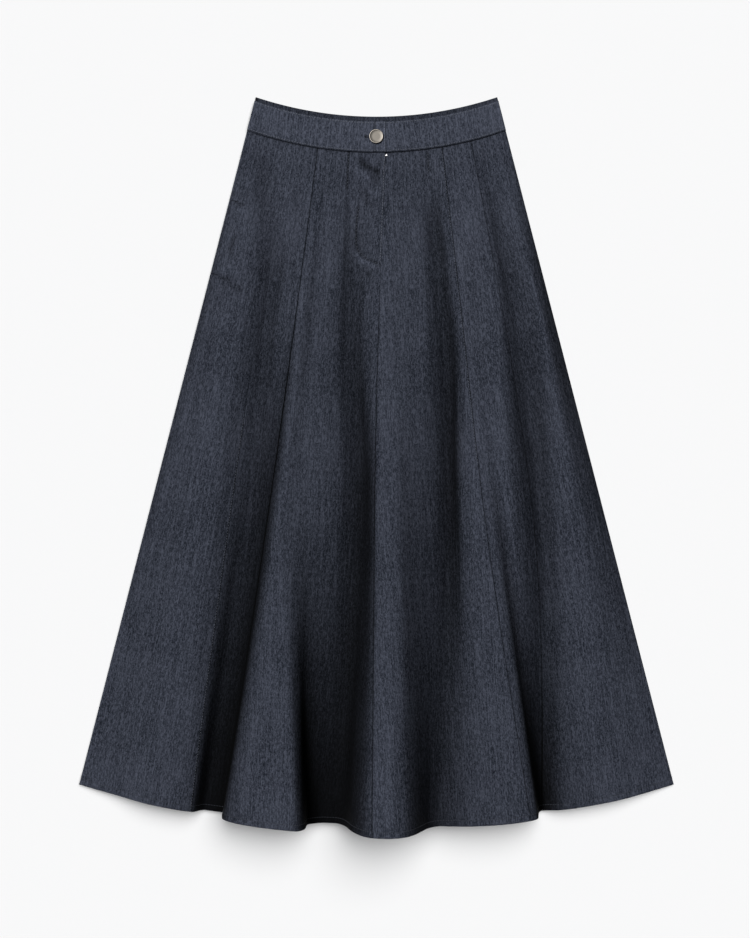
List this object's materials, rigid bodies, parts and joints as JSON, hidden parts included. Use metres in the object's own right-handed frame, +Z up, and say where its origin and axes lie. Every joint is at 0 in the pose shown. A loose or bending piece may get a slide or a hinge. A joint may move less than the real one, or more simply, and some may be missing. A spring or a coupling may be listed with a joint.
{
  "type": "denim skirt",
  "caption": "Long flared skirt in dark indigo denim, laid flat, with a waistband, a button, a fly front and soft flutes that widen to the hem.",
  "frame": {"origin": "middle of the outline, on the surface that the skirt lies on", "axes": "+Y from the hem to the waist, +Z up out of the front, +X to the right of someone who looks at the front"},
  "size_m": [0.754, 0.9195, 0.08],
  "materials": {
    "indigo_denim": "dark indigo denim twill with a fine slub",
    "zip_tape": "dark woven zip tape",
    "pocketing": "dark plain-woven pocketing",
    "brushed_nickel": "satin nickel"
  },
  "bodies": {
    "root": {"front_side_left": "indigo_denim", "front_middle_left": "indigo_denim", "front_centre_left": "indigo_denim", "front_centre_right": "indigo_denim", "front_middle_right": "indigo_denim", "front_side_right": "indigo_denim", "back_left": "indigo_denim", "back_right": "indigo_denim", "waistband_front_left": "indigo_denim", "waistband_front_right": "indigo_denim", "waistband_back_left": "indigo_denim", "waistband_back_right": "indigo_denim", "fly_zip": "zip_tape", "zip_slider": "brushed_nickel", "waist_button": "brushed_nickel", "pocket_bag_left": "pocketing"}
  },
  "joints": []
}
